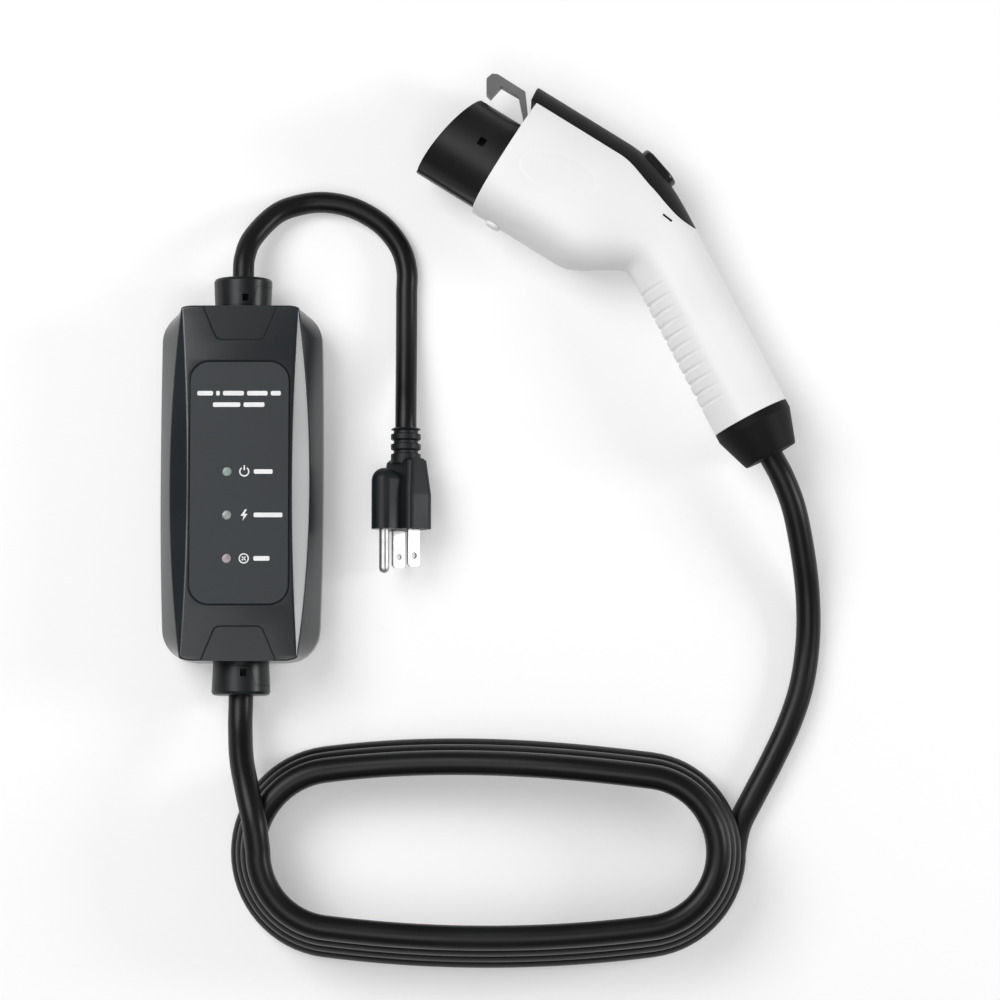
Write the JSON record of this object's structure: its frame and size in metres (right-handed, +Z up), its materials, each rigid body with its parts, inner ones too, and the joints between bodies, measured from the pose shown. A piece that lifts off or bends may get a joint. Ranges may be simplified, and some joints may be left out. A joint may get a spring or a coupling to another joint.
{
  "type": "portable ev charger",
  "caption": "Portable vehicle charger: pistol-grip connector with latch and thumb button, coiled cable, in-cable control box with status lamps, and a short mains lead with a plug.",
  "frame": {"origin": "centre of the ground plan of the control box and the connector, on the surface that they lie on", "axes": "+Z up from that surface, +Y along the control box toward the mains lead, +X from the box toward the connector"},
  "size_m": [0.3073, 0.4157, 0.0492],
  "materials": {
    "box_plastic": "fine-textured charcoal moulding",
    "panel_film": "fine-textured charcoal film",
    "gland_plastic": "satin black moulding",
    "white_plastic": "satin white moulding",
    "nose_plastic": "satin black moulding",
    "cover_plastic": "satin black moulding",
    "button_plastic": "glossy black moulding",
    "latch_plastic": "satin dark grey moulding",
    "cap_rubber": "matte black",
    "plug_plastic": "satin black soft plastic",
    "cable_rubber": "smooth black sheath",
    "seal_rubber": "matte black",
    "nickel": "nickel plated",
    "steel": "zinc plated",
    "contact_brass": "silver washed brass",
    "lens_green": "milky lens",
    "lens_grey": "milky lens",
    "lens_red": "milky lens",
    "circuit_board": "solder mask",
    "component_black": "moulded case",
    "component_yellow": "coated core",
    "component_green": "moulded block"
  },
  "bodies": {
    "root": {"box_front_cover": "box_plastic", "box_rear_cover": "box_plastic", "box_gasket": "seal_rubber", "box_screws": "steel", "indicator_panel": "panel_film", "power_lens": "lens_green", "charging_lens": "lens_grey", "fault_lens": "lens_red", "control_board": "circuit_board", "status_leds": "lens_grey", "line_relay": "component_black", "neutral_relay": "component_black", "supply_module": "component_black", "current_sensor": "component_yellow", "board_fuse": "nickel", "input_terminals": "component_green", "output_terminals": "component_green", "upper_gland_base": "gland_plastic", "upper_gland_collar": "gland_plastic", "upper_gland_seal": "seal_rubber", "lower_gland_base": "gland_plastic", "lower_gland_collar": "gland_plastic", "lower_gland_seal": "seal_rubber", "connector_shell_left": "white_plastic", "connector_shell_right": "white_plastic", "connector_screws": "steel", "nose_barrel": "nose_plastic", "contact_carrier": "nose_plastic", "line_contact": "contact_brass", "neutral_contact": "contact_brass", "earth_contact": "contact_brass", "pilot_contact": "contact_brass", "proximity_contact": "contact_brass", "top_cover": "cover_plastic", "latch_pin": "steel", "latch_spring": "steel", "switch_bracket": "component_black", "latch_switch": "component_black", "handle_end_cap": "cap_rubber", "handle_cable_seal": "seal_rubber", "cable_clamp": "component_black", "plug_body": "plug_plastic", "line_blade": "nickel", "neutral_blade": "nickel", "earth_pin": "nickel", "mains_lead": "cable_rubber", "cable_box_end": "cable_rubber", "cable_coil": "cable_rubber", "cable_handle_end": "cable_rubber"},
    "release_button": {"release_button": "button_plastic"},
    "latch_lever": {"latch_lever": "latch_plastic"}
  },
  "joints": [
    {"name": "button_press", "type": "slide", "parent": "root", "child": "release_button", "axis": [-0.7604, -0.6494, 0], "range_m": [0, 0.003], "stiffness_N_per_m": 800, "springref_m": -0.004, "deforming": ["latch_spring"]},
    {"name": "latch_pivot", "type": "hinge", "parent": "root", "child": "latch_lever", "pos_m": [0.04107, 0.11405, 0.0246], "axis": [0, 0, 1], "range_deg": [-3.78, 0], "deforming": ["latch_spring"]}
  ],
  "couplings": [
    {"joint": "latch_pivot", "follows": "button_press", "rad_per_m": -22}
  ]
}
